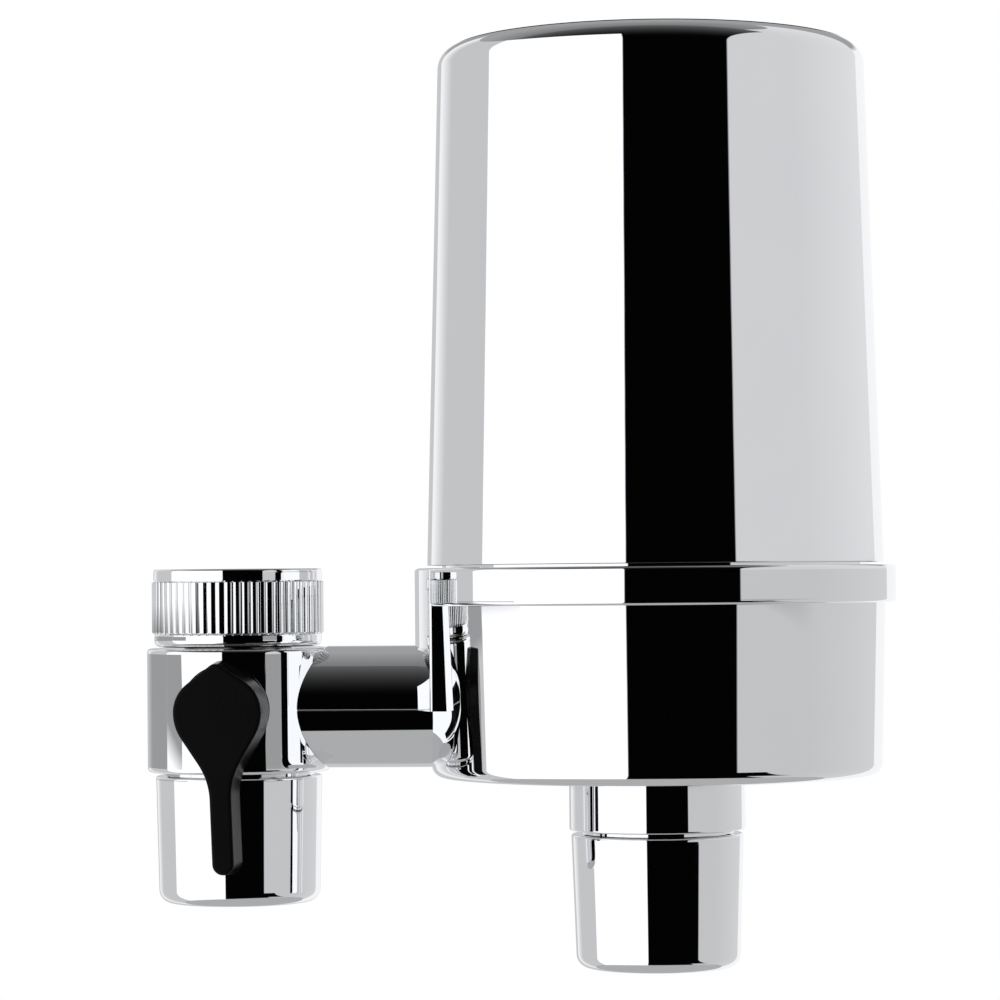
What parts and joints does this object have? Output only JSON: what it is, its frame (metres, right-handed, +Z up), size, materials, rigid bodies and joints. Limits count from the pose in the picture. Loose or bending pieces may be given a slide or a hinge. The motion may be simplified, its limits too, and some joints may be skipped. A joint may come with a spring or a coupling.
{
  "type": "faucet mount water filter",
  "caption": "Chromed water filter that screws on to a tap, with a diverter valve, a black lever, a plain outlet and a capped filter housing on a side arm.",
  "frame": {"origin": "centre of the collar's mouth, on its top rim, where the tap's end goes in", "axes": "+Z up out of the collar along the tap's axis; +X along the arm from the valve to the filter; -Y towards the user, where the lever is"},
  "size_m": [0.1278, 0.0812, 0.1563],
  "materials": {
    "chrome_body": "bright chrome plating on a moulded body",
    "chrome_nut": "bright chrome plating on a turned and knurled nut",
    "black_plastic": "black moulded plastic, satin",
    "white_plastic": "white moulded plastic",
    "grey_plastic": "pale grey moulded plastic",
    "black_rubber": "black rubber, matt",
    "screen_steel": "pierced stainless steel",
    "stem_brass": "turned brass",
    "fleece": "white non-woven fleece",
    "carbon": "pressed activated carbon, matt black"
  },
  "bodies": {
    "collar": {"collar": "chrome_nut", "collar_washer": "black_rubber", "inlet_screen": "screen_steel"},
    "body": {"swivel_stem": "stem_brass", "stem_seal_ring": "black_rubber", "valve_body": "chrome_body", "retaining_bush": "black_plastic", "yoke": "chrome_body", "base": "chrome_body", "feed_tube": "white_plastic", "feed_seal_valve": "black_rubber", "feed_seal_base": "black_rubber", "cartridge_bottom_cap": "white_plastic", "cartridge_seal_ring": "black_rubber", "cartridge_cage": "white_plastic", "fleece_wrap": "fleece", "carbon_block": "carbon", "core_tube": "white_plastic", "cartridge_top_cap": "white_plastic"},
    "lever": {"lever": "black_plastic", "diverter_plug": "white_plastic", "plug_seal_front": "black_rubber", "plug_seal_rear": "black_rubber"},
    "cap_lift": {"cap_seal_ring": "black_rubber"},
    "cap": {"cap": "chrome_body"},
    "tap_outlet_thread": {"tap_outlet_washer": "black_rubber"},
    "tap_outlet": {"tap_outlet_cup": "chrome_body", "tap_outlet_insert": "grey_plastic"},
    "filter_outlet_thread": {"filter_outlet_washer": "black_rubber"},
    "filter_outlet": {"filter_outlet_shell": "chrome_body", "filter_outlet_insert": "grey_plastic"}
  },
  "joints": [
    {"name": "collar_swivel", "type": "hinge", "parent": "collar", "child": "body", "pos_m": [0, 0, -0.0115], "axis": [0, 0, 1], "continuous": true},
    {"name": "lever_turn", "type": "hinge", "parent": "body", "child": "lever", "pos_m": [0, 0, -0.02364], "axis": [0, 1, 0], "range_deg": [0, 90]},
    {"name": "cap_lift", "type": "slide", "parent": "body", "child": "cap_lift", "axis": [0, 0, 1], "range_m": [0, 0.1]},
    {"name": "cap_turn", "type": "hinge", "parent": "cap_lift", "child": "cap", "pos_m": [0.07159, 0, 0], "axis": [0, 0, 1], "range_deg": [0, 540]},
    {"name": "tap_outlet_travel", "type": "slide", "parent": "body", "child": "tap_outlet_thread", "axis": [0, 0, -1], "range_m": [0, 0.0049]},
    {"name": "tap_outlet_turn", "type": "hinge", "parent": "tap_outlet_thread", "child": "tap_outlet", "pos_m": [0, 0, 0], "axis": [0, 0, -1], "range_deg": [0, 1800]},
    {"name": "filter_outlet_travel", "type": "slide", "parent": "body", "child": "filter_outlet_thread", "axis": [0, 0, -1], "range_m": [0, 0.0049]},
    {"name": "filter_outlet_turn", "type": "hinge", "parent": "filter_outlet_thread", "child": "filter_outlet", "pos_m": [0.07159, 0, 0], "axis": [0, 0, -1], "range_deg": [0, 1800]}
  ],
  "couplings": [
    {"joint": "tap_outlet_travel", "follows": "tap_outlet_turn", "m_per_rad": 0.00014961},
    {"joint": "filter_outlet_travel", "follows": "filter_outlet_turn", "m_per_rad": 0.00014961}
  ]
}
